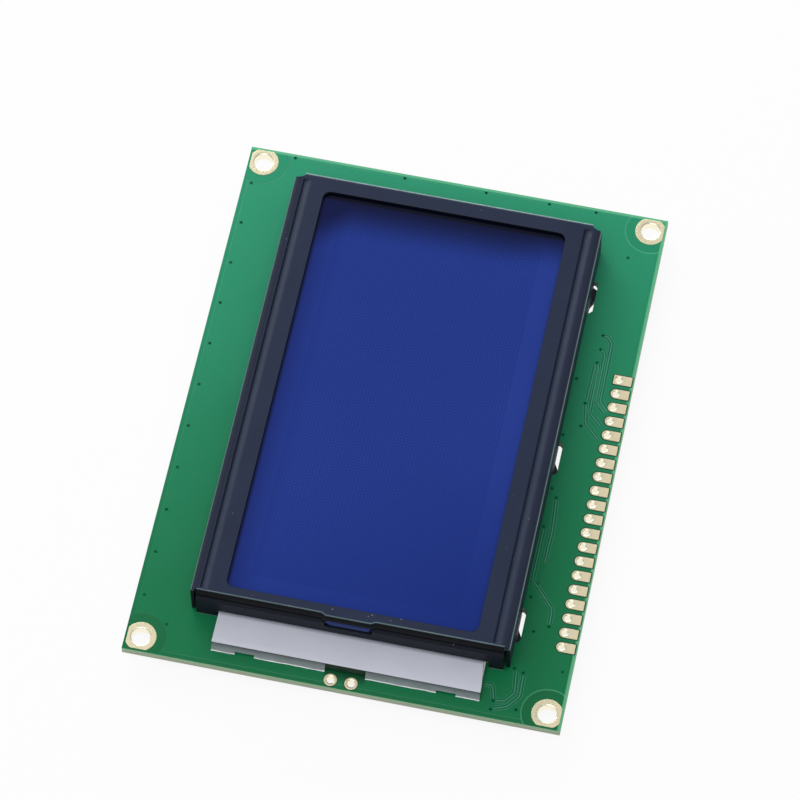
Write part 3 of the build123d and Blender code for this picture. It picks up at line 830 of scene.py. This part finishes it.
    # Painted shade, matt as well: by the window's cut edge, in the bands, on the end walls, on the
    # grooves' steep sides and at the walls' ends; a little darker and matter outside the grooves
    near_window = distance_inside(u, v, *window) > -0.01
    in_band = (np.abs(u) > flat_x) & (turned > 0.4) & (level > 5.3)
    end_walls = 0.75 * (np.abs(u) > wall_start - 0.01)
    steep = 0.7 * in_groove * peak(off, 0.1 - groove_half[1], 0.16)
    outer_strip = 0.32 * (np.abs(v) > groove_y + 0.8)
    wall_ends = 0.85 * ((np.abs(v) > flat_y + 0.5) & (np.abs(u) > flat_x - 0.3))
    dull = np.max([near_window | in_band, end_walls, steep, outer_strip, wall_ends], axis=0)

    points = np.stack([x + middle[0], y + middle[1], level + board_top], -1)
    made = piece("bezel_sheet", points, cut_faces(in_hole, solid), bezel_paint(), "black_paint", ["bezel"],
                 closed=False, rubbed=rubbed, dull=dull)
    work = bmesh.new()
    work.from_mesh(made.data)
    bmesh.ops.delete(work, geom=[point for point in work.verts if not point.link_faces], context="VERTS")
    work.to_mesh(made.data)
    work.free()
    thicken(made, sheet, 34)


# Silver film over the lamp end


def film():
    """The folded foil and the cover film on it.

    The foil is a profile carried across: flat, bent down over the shelf's edge, sloping down and
    then out to its foot on the board. Only two feet and two flaps reach the board, and the
    stretch between the flaps is open below the shelf. The cover is a flat grid, a little lifted."""
    shelf, tip = film_high[2], film_high[0]
    tucked, skirt_out, under_cover = 0.8, 0.8, 0.12
    wall_end, edge, under = film_low[0] - tucked, tip - skirt_out, shelf - under_cover
    half = (film_high[1] - film_low[1]) / 2
    foil, cover = 0.09, 0.05

    def squared(x, y):
        """The film is cut a little out of square at its pad side, where it is shorter at the wall."""
        most, side_run, end_run = 0.45, 6.0, 4.5
        return y - most * ease((y - half + side_run) / side_run) * ease((edge - 0.5 - x) / end_run)

    run = np.array([
        (wall_end, under), (edge - 2.8, under), (edge - 1.0, under), (edge - 0.25, under),
        (edge - 0.08, under - 0.03), (edge, under - 0.1),
        (edge + 0.12, under - 0.38), (edge + 0.24, under - 0.66), (edge + 0.37, under - 0.95),
        (edge + 0.49, under - 1.22), (edge + 0.62, board_top + 0.22), (edge + 0.66, board_top + 0.16),
        (tip, board_top + 0.13),
    ])
    whole_rows, skirt_rows, wave_start, wave_run = 8, 9, 6, 8
    foot_width, notch = 3.8, 3.1
    outer = half - foot_width
    stretches = np.array([(-half, -outer), (notch - outer, -film_gap_half),
                          (film_gap_half, outer - notch), (outer, half)])
    across = lines(stretches, widest=1.0)
    x = np.broadcast_to(run[:, :1], (len(run), len(across)))
    z = np.broadcast_to(run[:, 1:], x.shape)
    y = np.broadcast_to(across, x.shape)
    row = np.arange(len(run))[:, None]
    wave = 0.05 * np.sin(y * 0.9) + 0.03 * np.sin(y * 2.3 + 1.0)
    x = np.minimum(x + wave * ease((row - wave_start) / wave_run), tip)
    mid = (across[1:] + across[:-1]) / 2
    on_flap = ((mid[:, None] > stretches[:, 0]) & (mid[:, None] < stretches[:, 1])).any(-1)
    solid = (row[:-1] < whole_rows) | ((row[:-1] < skirt_rows) & (np.abs(mid) > film_gap_half)) | on_flap
    points = np.stack([x, squared(x, y) + lamp_middle, z], -1)
    faces = cut_faces(np.zeros(x.shape, bool), solid)
    folded = piece("film_fold", points, faces, silver_foil(), "silver_film", ["backlight_film"], closed=False)
    thicken(folded, foil)

    # The cover's near edge is a little lifted at the side away from the pads
    x, y = np.meshgrid(np.linspace(wall_end, edge + 0.06, 12), np.linspace(-half, half, 60), indexing="ij")
    y = squared(x, y)
    lift = 0.16 * ease((x - edge + 1.6) / 1.7) * ease((-y - 1.0) / 12.0)
    z = shelf - 0.03 + lift * 0.6 + 0.012 * np.sin(y * 0.5) * ease((x - wall_end) / 4)
    points = np.stack([x, y + lamp_middle, z], -1)
    thicken(piece("film_cover", points, quads(*x.shape), satin_film(), "silver_film", closed=False), cover)


# Plated pads and rings


def plated(place, edge, hole, steps):
    """A pad with its barrel, as one closed ring surface through the board.

    Rings run from the pad's outline on the front, over its rounded shoulder to the hole, down the
    barrel and out again on the back. edge gives the outline at an inset."""
    proud = 0.07
    rings = [edge(0.0), edge(0.0), edge(0.03), edge(0.08)]
    rings += [disc(hole + lip, steps=steps) for lip in (0.16, 0.05, 0.0)]
    rise = proud * np.array([0.0, 0.55, 0.9, 1.0, 1.0, 0.7, 0.1])
    levels = np.concatenate([board_top + rise, (board_back - rise)[::-1]])
    return moved(stack(rings + rings[::-1], levels, closed=True), (*place, 0.0))


def barrels(count, each):
    """1 on the inner lip and barrel of each plated hole, and 0 on its pad."""
    rings = np.array([0, 0, 0, 0, 0.4, 1, 1])
    return np.tile(np.repeat(np.concatenate([rings, rings[::-1]]), each), count)


def clearance(place, edge, width):
    """A thin dark ring just outside a pad's outline, on both faces of the board."""
    rise = 0.006
    rings = [edge(-width), edge(0.05 - width), edge(-0.01), edge(-0.01)]
    faces = [stack(rings, [face, face + proud, face + proud, face], closed=True)
             for face, proud in ((board_top, rise), (board_back, -rise))]
    return moved(joined(faces), (*place, 0.0))


def pads():
    """The row of pads, the lamp pads and the rings round the corner holes, with dark clearances.

    The row's pads have square outer ends and round inner ends, but for the first, whose inner end
    is square too. A corner ring is a circle cut off straight beside both of the board's edges."""
    gold, dark = pad_gold(), clearance_mask()
    half, outer = pad_width / 2, pads_high[1] - pad_y
    shift = np.array([0.0, (outer - half) / 2])
    lamp_radius, ring_radius, steps, fine_steps = 1.05, 2.5, 6, 14
    reach = hole_inset - 0.35

    def row_edge(inner_radius):
        radii = [0.08, 0.08, inner_radius, inner_radius]
        return lambda inset: outline(half, (half + outer) / 2, radii, inset, steps) + shift

    def lamp_edge(inset):
        return disc(lamp_radius, inset, steps)

    def ring_edge(place):
        side = np.sign(place)
        return lambda inset: np.minimum(disc(ring_radius, inset, fine_steps) * side, reach - inset) * side

    row = [((x, pad_y), row_edge(half if i else 0.1)) for i, x in enumerate(pad_x)]
    lamp = [(place, lamp_edge) for place in lamp_pads]
    rings = [(place, ring_edge(place)) for place in corner_holes]
    for name, node, group, hole, count in (
        ("pad_row", "header_pads", row, 0.5, steps),
        ("lamp_pads", "backlight_pads", lamp, 0.6, steps),
        ("corner_rings", "mounting_rings", rings, 1.5, fine_steps),
    ):
        forms = [plated(place, edge, hole, count) for place, edge in group]
        barrel = barrels(len(forms), 4 * (count + 1))
        piece(name, *joined(forms), gold, "gold_plating", [node], barrel=barrel)
    gaps = [clearance(*pad, width) for group, width in ((row, 0.2), (lamp, 0.14)) for pad in group]
    piece("pad_clearances", *joined(gaps), dark, "board_mask")


# Traces and vias under the mask


def vias():
    """Every via as a low collar round a shallow well, on both faces of the board."""
    side_row = [(-39.7 + 7.65 * i, -33.6) for i in range(11)]
    places = side_row + [
        (41.1, -29.0), (-45.8, -27.5), (-45.7, -9.0), (-45.7, 4.7), (-45.7, 15.3), (-45.7, 23.1),
        (-38.4, 29.8), (-23.4, 28.5), (-20.8, 28.6), (-18.3, 28.5), (-14.8, 25.8), (-10.7, 28.0),
        (-6.5, 28.1), (-4.4, 25.6), (5.4, 25.7), (6.9, 26.7), (12.3, 25.7), (22.2, 26.7), (24.8, 26.1),
        (30.6, 27.7), (29.3, 29.9), (36.5, 33.5), (37.4, 26.0), (37.9, 27.5), (43.5, 23.8),
        (45.0, 23.7), (44.3, 27.6),
    ]
    radii = np.array([0.0, 0.14, 0.18, 0.23, 0.31, 0.37])
    rise = np.array([0.004, 0.004, 0.006, 0.01, 0.008, 0.0])
    ring = unit_ring(16)
    forms = []
    for place in places:
        for face, side in ((board_top, 1), (board_back, -1)):
            points, faces = stack([ring * radius for radius in radii], face + side * rise)
            forms.append(moved((points, faces[:, ::side]), (*place, 0.0)))
    across = np.tile(np.repeat(radii, len(ring)), len(forms))
    piece("vias", *joined(forms), via_mask(), "board_mask", closed=False, across=across)


def traces(name, paths, face, side, width=1.0):
    """Traces under the mask on one face: each a low crown between two channels."""
    half = np.array([0.1, 0.14, 0.33, 0.38, 0.42, 0.45])
    rise = np.array([0.014, 0.004, 0.003, 0.01, 0.01, 0.0])
    across = np.concatenate([-half[::-1], half])
    heights = np.concatenate([rise[::-1], rise]) * side
    forms, reach = [], []
    for path in paths:
        points, faces, off = ribbon(path, across * width, heights, face)
        forms.append((points, faces[:, ::-side]))
        reach.append(off / width)
    piece(name, *joined(forms), trace_mask(), "board_mask", closed=False, crease=60,
          across=np.concatenate(reach))


def front_traces():
    """Traces that show beside the bezel."""
    traces("front_traces", [
        [(-23.3, 28.8), (-23.3, 29.3), (-22.3, 30.2), (-11.5, 30.3), (-10.0, 31.7)],
        [(-20.7, 28.8), (-20.0, 29.5), (-11.3, 29.6), (-9.6, 31.3)],
        [(-18.2, 28.7), (-17.4, 28.9), (-9.2, 29.0), (-7.1, 31.2)],
        [(-18.0, 28.3), (-11.3, 28.2)],
        [(-10.4, 28.2), (-7.2, 28.7), (-4.5, 31.4)],
        [(7.3, 26.8), (12.5, 27.2), (18.6, 27.1)],
        [(12.7, 25.8), (21.8, 25.8), (26.2, 29.8), (28.9, 29.9)],
        [(38.4, 27.6), (42.0, 27.7), (44.0, 26.2), (44.8, 24.1)],
        [(37.8, 26.4), (41.6, 26.8), (43.1, 25.6), (43.4, 24.2)],
        [(41.0, 21.9), (40.9, 23.2), (43.1, 23.8)],
    ], board_top, 1)


def back_traces():
    """The bus from the pads to the middle resin drop, and the lines between the drops.

    Each trace of the bus leaves its pad, goes through its gate beside the tabs' slots, runs across
    at a level of its own and ends under the drop. On either side of the drop, outer pads take the
    levels nearer to it, so that no two traces cross. Seven more go from the far drop to the chip."""
    gates = {4: -5.6, 5: -4.9, 6: -4.2, 7: 4.1, 8: 4.9, 17: 25.0, 18: 25.6, 19: 26.2}
    pad_end, turn_y, gate_y, longest_slope = 31.2, 30.4, 30.0, 3.0
    left_count, first_level, level_pitch = 7, 19.6, 0.42
    end_pitch, line_pitch, tuck = 0.6, 0.62, 0.3
    drops = list(drop_x.values())

    def drop_edge(off):
        """How far from a drop's middle a trace at this offset goes under its edge."""
        return np.sqrt(drop_radius ** 2 - off ** 2) - tuck

    paths = []
    for i, x in enumerate(pad_x):
        gate = gates.get(i, x)
        level = first_level + level_pitch * (i if i < left_count else pad_count - 1 - i)
        off = (i - (pad_count - 1) / 2) * end_pitch
        end = drops[1] + off
        slope = min(abs(gate - x), longest_slope)
        paths.append([(x, pad_end), (x, turn_y), (gate, gate_y - slope), (gate, level), (end, level),
                      (end, drop_y + drop_edge(off))])
    for off in line_pitch * np.arange(-4, 5):
        paths += [[(left + drop_edge(off), drop_y + off), (right - drop_edge(off), drop_y + off)]
                  for left, right in zip(drops, drops[1:])]
    for k in range(7):
        x, level = -28.0 + 1.1 * k, -12.0 + 0.5 * k
        paths.append([(x, -5.8 - 0.1 * abs(k - 3)), (x, level), (-14.0 + 0.9 * k, level)])
    traces("back_traces", paths, board_back, -1, width=0.45)


# Parts on the back


def resin_domes():
    """The resin drops: rings that shrink as they go down, each a circle that flowed a little uneven."""
    resin = drop_resin()
    turn = np.linspace(0, 2 * np.pi, 72, endpoint=False)
    rim_inset = 0.12
    share = np.array([0.0, 1.0, 1.01, 0.995, 0.95, 0.86, 0.72, 0.55, 0.36, 0.18, 0.0])
    depth = np.array([0.0, 0.0, 0.12, 0.36, 0.66, 0.92, 1.13, 1.27, 1.36, 1.39, 1.4])
    for order, node in enumerate(drop_x):
        low, high = box_mm(node)
        centre, radius = (low + high) / 2, (high[0] - low[0]) / 2 - rim_inset
        flow = 1 + 0.012 * np.sin(2 * turn + order) + 0.008 * np.sin(5 * turn + 2 * order)
        ring = unit_ring(len(turn)) * flow[:, None]
        points, faces = stack([ring * radius * part + centre[:2] for part in share], board_back - depth)
        piece(node + "_dome", points, faces, resin, "drop_resin", [node], crease=70)


def chip_body():
    """The small chip's body, a rounded block between its leads."""
    low, high = box_mm("charge_pump_chip")
    block = moved(hanging_block(high - low, 0.12, 0.16), (*(low + high)[:2] / 2, high[2]))
    mould = plain_mould("chip_mould", (22, 22, 23), (34, 34, 36))
    piece("charge_pump_body", *block, mould, "chip_plastic", ["charge_pump_chip"])


def two_ended_parts():
    """Chip resistors and capacitors: a body, two tinned ends, and a solder fillet up each end."""
    silver = tinned()
    body_inset = np.array([0.1, 0.2, 0.05])
    body_corner, end_corner, edge = 0.05, 0.06, 0.08
    fillet_reach, fillet_out, fillet_width, fillet_height = 0.42, 0.12, 0.96, 0.55
    glaze = plain_mould("resistor_glaze", (14, 14, 17), (24, 24, 28), 0.25)
    ceramic = plain_mould("capacitor_body", (150, 116, 84), (176, 142, 108))
    tantalum = plain_mould("tantalum_body", (196, 142, 40), (216, 166, 62))
    for node, kind, slot, cap, finish in (
        ("chip_resistors", "resistor", "resistor_ceramic", 0.36, glaze),
        ("chip_capacitors", "capacitor", "capacitor_ceramic", 0.36, ceramic),
        ("tantalum_capacitors", "tantalum", "tantalum_resin", 0.5, tantalum),
    ):
        bodies, ends = [], []
        for low, high in separate_boxes(node):
            (x, y), (width, length, height) = (low + high)[:2] / 2, high - low
            body = hanging_block(high - low - body_inset, body_corner, edge)
            bodies.append(moved(body, (x, y, board_back)))
            for side in (-1, 1):
                end = hanging_block((width, cap, height), end_corner, edge)
                ends.append(moved(end, (x, y + side * (length - cap) / 2, board_back)))
                fillet = fillet_wedge(width * fillet_width, fillet_reach, height * fillet_height, side)
                ends.append(moved(fillet, (x, y + side * (length / 2 + fillet_out), board_back)))
        piece(kind + "_bodies", *joined(bodies), finish, slot, [node])
        piece(kind + "_ends", *joined(ends), silver, "tinned_lead")


def separate_boxes(node, gap=0.4):
    """Boxes of a node's parts that stand apart in plan, found by splitting along X and then Y."""
    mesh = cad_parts[node].data
    corners = np.empty(len(mesh.vertices) * 3)
    mesh.vertices.foreach_get("co", corners)
    faces = np.empty(len(mesh.loop_triangles) * 3, int)
    mesh.loop_triangles.foreach_get("vertices", faces)
    triangles = corners.reshape(-1, 3)[faces.reshape(-1, 3)] / MM
    low, high = triangles.min(1), triangles.max(1)
    groups = [np.arange(len(low))]
    for axis in (0, 1):
        split = []
        for group in groups:
            order = group[np.argsort(low[group, axis])]
            reached = np.maximum.accumulate(high[order, axis])
            split += np.split(order, np.flatnonzero(low[order[1:], axis] > reached[:-1] + gap) + 1)
        groups = split
    return [(low[group].min(0), high[group].max(0)) for group in groups]


def fillet_wedge(width, length, height, side):
    """A solder fillet: a hollow slope from the board up to a terminal's end.

    Its profile is a quarter circle sagging towards the corner, carried across the terminal and
    drawn to its middle at both ends."""
    angle = np.linspace(0, np.pi / 2, 6)
    slope = np.stack([length * (0.5 - np.sin(angle)), height * (1 - np.cos(angle))], -1)
    profile = np.vstack([slope, [-0.5 * length, 0.0]])
    middle = profile.mean(0)
    rings = []
    for place, share in ((-1.0, 0.0), (-0.98, 1.0), (0.98, 1.0), (1.0, 0.0)):
        drawn = (middle + (profile - middle) * share) * [side, -1]
        rings.append(np.column_stack([np.full(len(profile), place * width / 2), drawn]))
    return np.concatenate(rings), quads(len(rings), len(profile), ring_columns=True)


def prints():
    """White printed rings round the resin drops on the back."""
    rings = [unit_ring(96) * radius for radius in (7.45, 7.47, 7.63, 7.65)]
    ink = 0.02
    form = stack(rings, [board_back, board_back - ink, board_back - ink, board_back], closed=True)
    forms = []
    for node in drop_x:
        low, high = box_mm(node)
        forms.append(moved(form, (*(low + high)[:2] / 2, 0.0)))
    piece("printed_rings", *joined(forms), white_print(), "board_mask")


# Port plug


def plug():
    """The bead of blue resin that bulges from the cell's fill port into the wall's slot.

    Its face is a grid whose reach falls off steeply towards its edges, joined to a flat rear by a
    band round the rim. It is a little larger than the solid plug, so that it fills the slot."""
    seat, sunk, least, past_slot = plug_low[0], 0.12, 0.08, [0.0, 0.36, 0.06]
    reach = bezel_high[0] - sunk - seat
    across, up = np.meshgrid(np.linspace(-1, 1, 31), np.linspace(-1, 1, 13), indexing="ij")
    bulge = np.clip((1 - across ** 10) * (1 - up ** 4), 0, 1) ** 0.3
    middle, half = (plug_low + plug_high) / 2, (plug_high - plug_low) / 2 + past_slot
    y, z = middle[1] + half[1] * across, middle[2] + half[2] * up
    face = np.stack([seat + least + (reach - least) * bulge, y, z], -1).reshape(-1, 3)
    rear = np.stack([np.full(y.shape, seat), y, z], -1).reshape(-1, 3)
    grid = quads(*y.shape)
    points, faces = joined([(face, grid), (rear, grid[:, ::-1])])
    index = np.arange(y.size).reshape(y.shape)
    rim = np.concatenate([index[:, 0], index[-1, 1:], index[-2::-1, -1], index[0, -2:0:-1]])
    following = np.roll(rim, -1)
    band = np.stack([rim, following, following + y.size, rim + y.size], -1)
    piece("port_plug", points, [*faces, *band], plug_resin(), "plug_resin", ["end_seal"])


# Carried-over nodes


def carried_over():
    """Finishes for the CAD nodes that keep their shapes."""
    glass = plain_mould("cell_glass", (176, 190, 186), (190, 204, 200), 0.08, 0.2, 0.0005, Alpha=0.55)
    guide = plain_mould("guide_acrylic", (206, 216, 214), (222, 230, 228), 0.12, 0.2, 0.0005, Alpha=0.6)
    rubber = layered_rubber()
    for node, material in {
        "pcb": board_mask(),
        "front_polarizer": display_film(),
        "rear_polarizer": plain_mould("rear_polarizer", (120, 124, 128), (134, 138, 142), 0.3),
        "front_glass": glass,
        "rear_glass": glass,
        "cell_seal": plain_mould("gasket_resin", (96, 98, 106), (120, 122, 130), 0.5),
        "zebra_strip_pad_side": rubber,
        "zebra_strip_far_side": rubber,
        "reflector": dotted_film(),
        "light_guide": guide,
        "diffuser": plain_mould("diffuser_film", (214, 216, 216), (228, 230, 230), 0.5),
        "backlight_frame": plain_mould("frame_plastic", (206, 206, 200), (224, 224, 218), 0.5),
        # The lamp board is painted deep dark green: partly its own green, partly painted shade under the film
        "lamp_board": plain_mould("lamp_board", (8, 62, 38), (14, 80, 50), 0.4),
        "lamps": plain_mould("lamp_resin", (226, 220, 176), (240, 236, 204), 0.25),
        "charge_pump_leads": tinned(),
    }.items():
        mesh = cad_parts[node].data
        mesh.materials.clear()
        mesh.materials.append(material)


# Stage, light and camera


def grey(level):
    """A plain linear grey."""
    return level, level, level, 1


def stage():
    """A pale floor under the tabs' tips and a world that is white where the camera looks.

    For camera, glossy and transmitted rays part of the floor's colour is its own white, so that it
    stays white and still takes a soft shadow."""
    reach = 1.6
    mesh = bpy.data.meshes.new("floor")
    mesh.from_pydata([(reach * x, reach * y, 0) for x, y in ((-1, -1), (1, -1), (1, 1), (-1, 1))], [],
                     [(0, 1, 2, 3)])
    floor = placed("floor", mesh)
    finish = Finish("floor", Base_Color=grey(0.9), Roughness=0.9)
    own = finish.node("Emission", {"Color": grey(1), "Strength": 1.0})
    seen = finish.rays("Camera", "Glossy", "Transmission") * 0.9
    shaded = Value(finish, finish.surface.outputs[0])
    blend = finish.node("MixShader", {0: seen, 1: shaded, 2: own})
    finish.tree.links.new(blend.socket, finish.tree.nodes["Material Output"].inputs["Surface"])
    mesh.materials.append(finish.material)

    # The world: plain for light, white for the camera, and in gloss a sky that is pale low down and
    # grey overhead, and darker on the viewer's side
    world = bpy.data.worlds.new("studio")
    bpy.context.scene.world = world
    world.use_nodes = True
    sky = Nodes(world.node_tree)
    way = sky.node("TexCoord", output="Generated")
    height = sky.node("SeparateXYZ", {0: way}, output="Z")
    viewer = sky.node("SeparateXYZ", {0: way}, output="X").step(0.1, 0.9) * height.step(-0.05, 0.2)
    pale = sky.node("ValToRGB", {0: height}, stops=[
        (0.0, grey(1)), (0.45, (0.95, 0.95, 0.96, 1)),
        (0.8, (0.28, 0.29, 0.32, 1)), (1.0, (0.18, 0.18, 0.2, 1)),
    ])
    gloss = sky.mix(viewer * 0.75, pale, (0.1, 0.1, 0.11, 1))
    light = sky.mix(sky.rays("Diffuse"), gloss, grey(0.48))
    seen = sky.mix(sky.rays("Camera"), light, grey(1))
    sky.tree.links.new(seen.socket, sky.tree.nodes["Background"].inputs["Color"])


def softbox(name, place, aim, size, power):
    """A rectangular lamp at a place, turned to face its aim. Both are in millimetres."""
    lamp = bpy.data.lights.new(name, "AREA")
    lamp.shape = "RECTANGLE"
    lamp.size, lamp.size_y = size[0] * MM, size[1] * MM
    lamp.energy = power
    made = placed(name, lamp)
    made.location = Vector(place) * MM
    made.rotation_euler = (Vector(aim) - Vector(place)).to_track_quat("-Z", "Y").to_euler()


def lights():
    """A soft lamp overhead, one like a window beyond the far end, and a low strip behind that end."""
    softbox("overhead", (140, -40, 460), (0, 0, 0), (320, 320), 0.72)
    softbox("window", (-430, -330, 400), (0, 0, 0), (300, 200), 0.9)
    softbox("back_strip", (-430, -150, 170), (0, 0, 3), (560, 110), 0.8)


def camera():
    """The photograph's view, solved from the board's edges and holes: a long lens from above."""
    across = Vector((-0.20624293, 0.97848229, -0.00602149))
    down = Vector((0.86876626, 0.18027872, -0.46124264))
    ahead = Vector((-0.45023221, -0.10035931, -0.88725361))
    place = Vector((340.44, 75.77, 681.16 + board_top))
    focal_pixels, picture_pixels = 4770.8, 800
    lens = bpy.data.cameras.new("camera")
    lens.sensor_width = 36.0
    lens.lens = lens.sensor_width * focal_pixels / picture_pixels
    lens.clip_start, lens.clip_end = 0.05, 20.0
    made = placed("camera", lens)
    turn = Matrix((across, -down, -ahead)).transposed().to_4x4()
    made.matrix_world = Matrix.Translation(place * MM) @ turn
    bpy.context.scene.camera = made


carried_over()
bezel()
film()
plug()
pads()
vias()
front_traces()
back_traces()
resin_domes()
chip_body()
two_ended_parts()
prints()
stage()
lights()
camera()
bpy.context.scene.view_settings.view_transform = "Standard"
